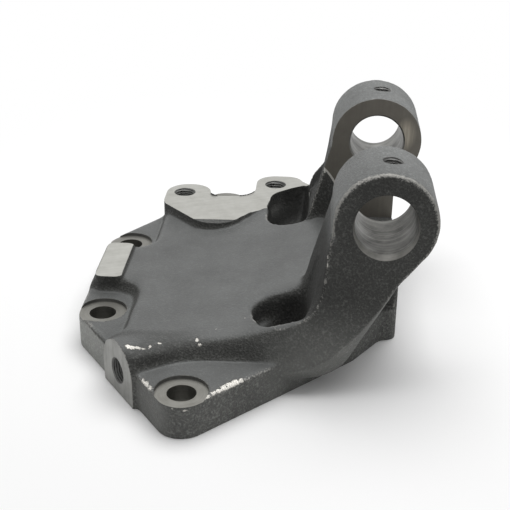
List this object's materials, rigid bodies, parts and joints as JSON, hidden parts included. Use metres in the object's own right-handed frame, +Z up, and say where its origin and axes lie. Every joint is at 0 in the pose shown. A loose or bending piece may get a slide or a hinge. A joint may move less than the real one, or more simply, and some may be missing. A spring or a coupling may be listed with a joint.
{
  "type": "tractor support bracket",
  "caption": "Cast iron support bracket: thick bolted foot with a raised body, a pair of upright arms with bored heads for a pivot pin, a machined ledge and a tapped port.",
  "frame": {"origin": "on the machined underside, midway between the two outer bolt holes", "axes": "X from the low end to the arms, Y along the pivot pin, Z up from the underside"},
  "size_m": [0.2195, 0.315, 0.1371],
  "materials": {
    "casting": "dark painted casting with bare machined faces"
  },
  "bodies": {
    "root": {"bracket": "casting"}
  },
  "joints": []
}
